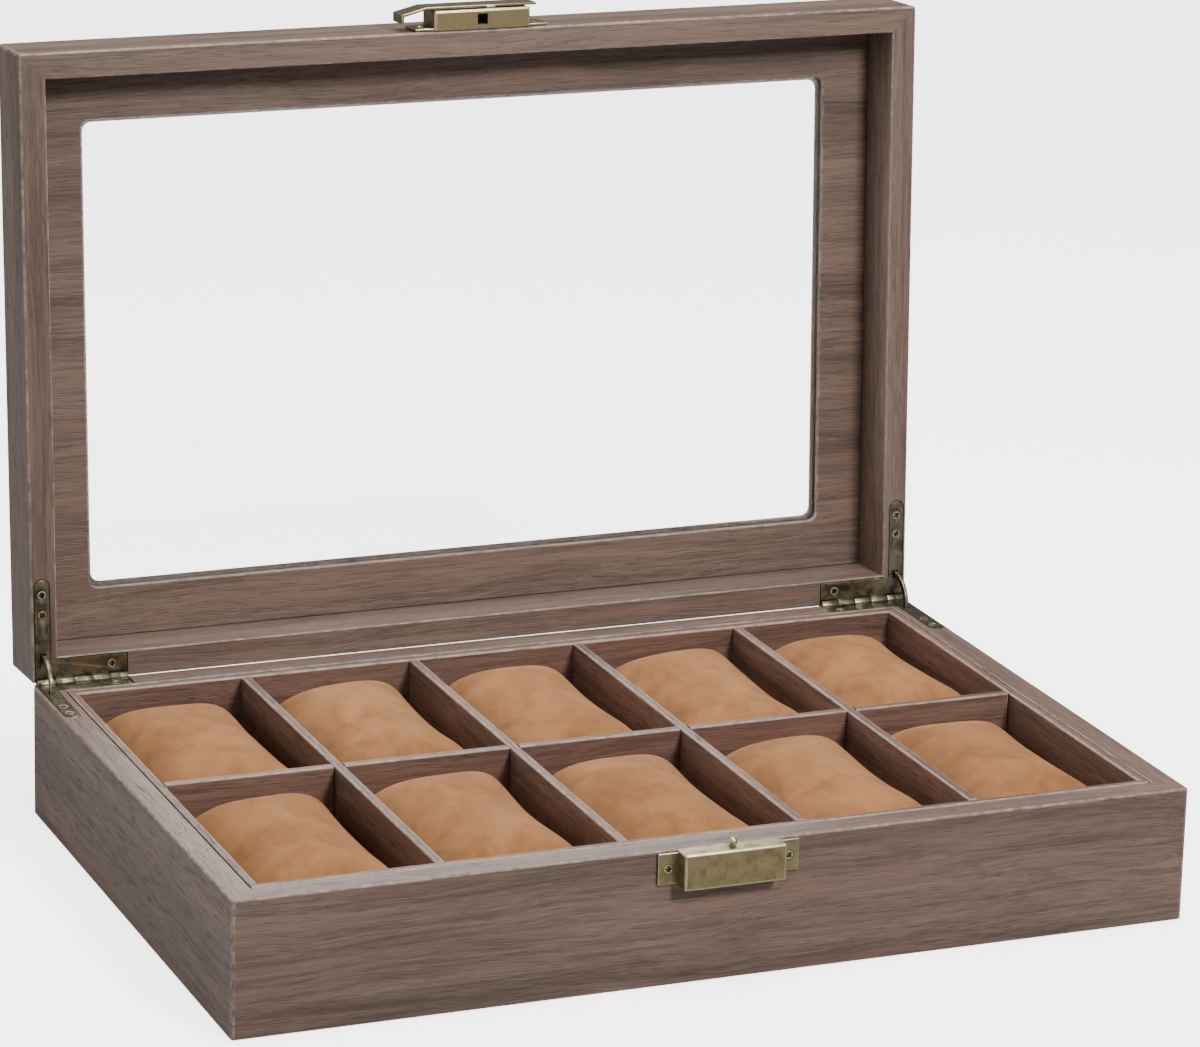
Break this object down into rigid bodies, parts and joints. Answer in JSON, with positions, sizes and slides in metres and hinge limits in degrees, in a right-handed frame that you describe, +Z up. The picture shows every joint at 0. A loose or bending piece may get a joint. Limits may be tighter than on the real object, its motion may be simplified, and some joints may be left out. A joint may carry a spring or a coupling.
{
  "type": "watch box",
  "caption": "Wooden watch box with a glazed hinged lid, stay hinges, a spring latch and a divided tray with a padded cushion in each compartment.",
  "frame": {"origin": "on the underside, below the middle of the tray", "axes": "+X to the right along the front, -Y out of the front, +Z up"},
  "size_m": [0.305, 0.2417, 0.251],
  "materials": {
    "walnut_covering": "satin walnut-grain covering, worn paler along its edges",
    "walnut_lining": "matt dark walnut lining",
    "tan_suede": "soft tan suede with a mottled nap",
    "hinge_bronze": "dark olive-bronze plating, rubbed bright on its edges",
    "latch_brass": "antique brass plating, rubbed bright on its edges",
    "window_glass": "clear polished glass",
    "glazing_bead": "matt dark bead"
  },
  "bodies": {
    "base": {"base_front_wall": "walnut_covering", "base_back_wall": "walnut_covering", "base_left_wall": "walnut_covering", "base_right_wall": "walnut_covering", "base_bottom_board": "walnut_covering", "tray_floor_lining": "walnut_lining", "tray_front_liner": "walnut_lining", "tray_back_liner": "walnut_lining", "tray_left_liner": "walnut_lining", "tray_right_liner": "walnut_lining", "long_divider": "walnut_lining", "cross_divider_1": "walnut_lining", "cross_divider_2": "walnut_lining", "cross_divider_3": "walnut_lining", "cross_divider_4": "walnut_lining", "hinge_left_base_leaf": "hinge_bronze", "hinge_left_pin": "hinge_bronze", "hinge_left_base_screw_1": "hinge_bronze", "hinge_left_base_screw_2": "hinge_bronze", "hinge_left_base_screw_3": "hinge_bronze", "hinge_right_base_leaf": "hinge_bronze", "hinge_right_pin": "hinge_bronze", "hinge_right_base_screw_1": "hinge_bronze", "hinge_right_base_screw_2": "hinge_bronze", "hinge_right_base_screw_3": "hinge_bronze", "latch_base_case": "latch_brass", "latch_stud": "latch_brass", "latch_base_screw_left": "latch_brass", "latch_base_screw_right": "latch_brass"},
    "lid": {"lid_front_wall": "walnut_covering", "lid_back_wall": "walnut_covering", "lid_left_wall": "walnut_covering", "lid_right_wall": "walnut_covering", "lid_window_panel": "walnut_covering", "glass_pane": "window_glass", "glass_bead": "glazing_bead", "hinge_left_lid_leaf": "hinge_bronze", "hinge_left_lid_screw_1": "hinge_bronze", "hinge_left_lid_screw_2": "hinge_bronze", "hinge_left_lid_screw_3": "hinge_bronze", "hinge_right_lid_leaf": "hinge_bronze", "hinge_right_lid_screw_1": "hinge_bronze", "hinge_right_lid_screw_2": "hinge_bronze", "hinge_right_lid_screw_3": "hinge_bronze", "latch_lid_case": "latch_brass", "latch_lid_screw_left": "latch_brass", "latch_lid_screw_right": "latch_brass"},
    "latch_slide": {"latch_release_slide": "latch_brass"},
    "left_stay": {"hinge_left_stay": "hinge_bronze"},
    "right_stay": {"hinge_right_stay": "hinge_bronze"},
    "pillow_01": {"pillow_01": "tan_suede"},
    "pillow_02": {"pillow_02": "tan_suede"},
    "pillow_03": {"pillow_03": "tan_suede"},
    "pillow_04": {"pillow_04": "tan_suede"},
    "pillow_05": {"pillow_05": "tan_suede"},
    "pillow_06": {"pillow_06": "tan_suede"},
    "pillow_07": {"pillow_07": "tan_suede"},
    "pillow_08": {"pillow_08": "tan_suede"},
    "pillow_09": {"pillow_09": "tan_suede"},
    "pillow_10": {"pillow_10": "tan_suede"}
  },
  "joints": [
    {"name": "lid_hinge", "type": "hinge", "parent": "base", "child": "lid", "pos_m": [0, 0.1006, 0.04265], "axis": [-1, 0, 0], "range_deg": [-93, 0]},
    {"name": "left_stay_hinge", "type": "hinge", "parent": "base", "child": "left_stay", "pos_m": [0, 0.1006, 0.04265], "axis": [-1, 0, 0], "range_deg": [-46.5, 0]},
    {"name": "right_stay_hinge", "type": "hinge", "parent": "base", "child": "right_stay", "pos_m": [0, 0.1006, 0.04265], "axis": [-1, 0, 0], "range_deg": [-46.5, 0]},
    {"name": "latch_release", "type": "slide", "parent": "lid", "child": "latch_slide", "axis": [1, 0, 0], "range_m": [0, 0.0025], "stiffness_N_per_m": 400},
    {"name": "pillow_01_lift", "type": "slide", "parent": "base", "child": "pillow_01", "axis": [0, 0, 1], "range_m": [0, 0.05]},
    {"name": "pillow_02_lift", "type": "slide", "parent": "base", "child": "pillow_02", "axis": [0, 0, 1], "range_m": [0, 0.05]},
    {"name": "pillow_03_lift", "type": "slide", "parent": "base", "child": "pillow_03", "axis": [0, 0, 1], "range_m": [0, 0.05]},
    {"name": "pillow_04_lift", "type": "slide", "parent": "base", "child": "pillow_04", "axis": [0, 0, 1], "range_m": [0, 0.05]},
    {"name": "pillow_05_lift", "type": "slide", "parent": "base", "child": "pillow_05", "axis": [0, 0, 1], "range_m": [0, 0.05]},
    {"name": "pillow_06_lift", "type": "slide", "parent": "base", "child": "pillow_06", "axis": [0, 0, 1], "range_m": [0, 0.05]},
    {"name": "pillow_07_lift", "type": "slide", "parent": "base", "child": "pillow_07", "axis": [0, 0, 1], "range_m": [0, 0.05]},
    {"name": "pillow_08_lift", "type": "slide", "parent": "base", "child": "pillow_08", "axis": [0, 0, 1], "range_m": [0, 0.05]},
    {"name": "pillow_09_lift", "type": "slide", "parent": "base", "child": "pillow_09", "axis": [0, 0, 1], "range_m": [0, 0.05]},
    {"name": "pillow_10_lift", "type": "slide", "parent": "base", "child": "pillow_10", "axis": [0, 0, 1], "range_m": [0, 0.05]}
  ],
  "couplings": [
    {"joint": "left_stay_hinge", "follows": "lid_hinge", "ratio": 0.5},
    {"joint": "right_stay_hinge", "follows": "lid_hinge", "ratio": 0.5}
  ]
}
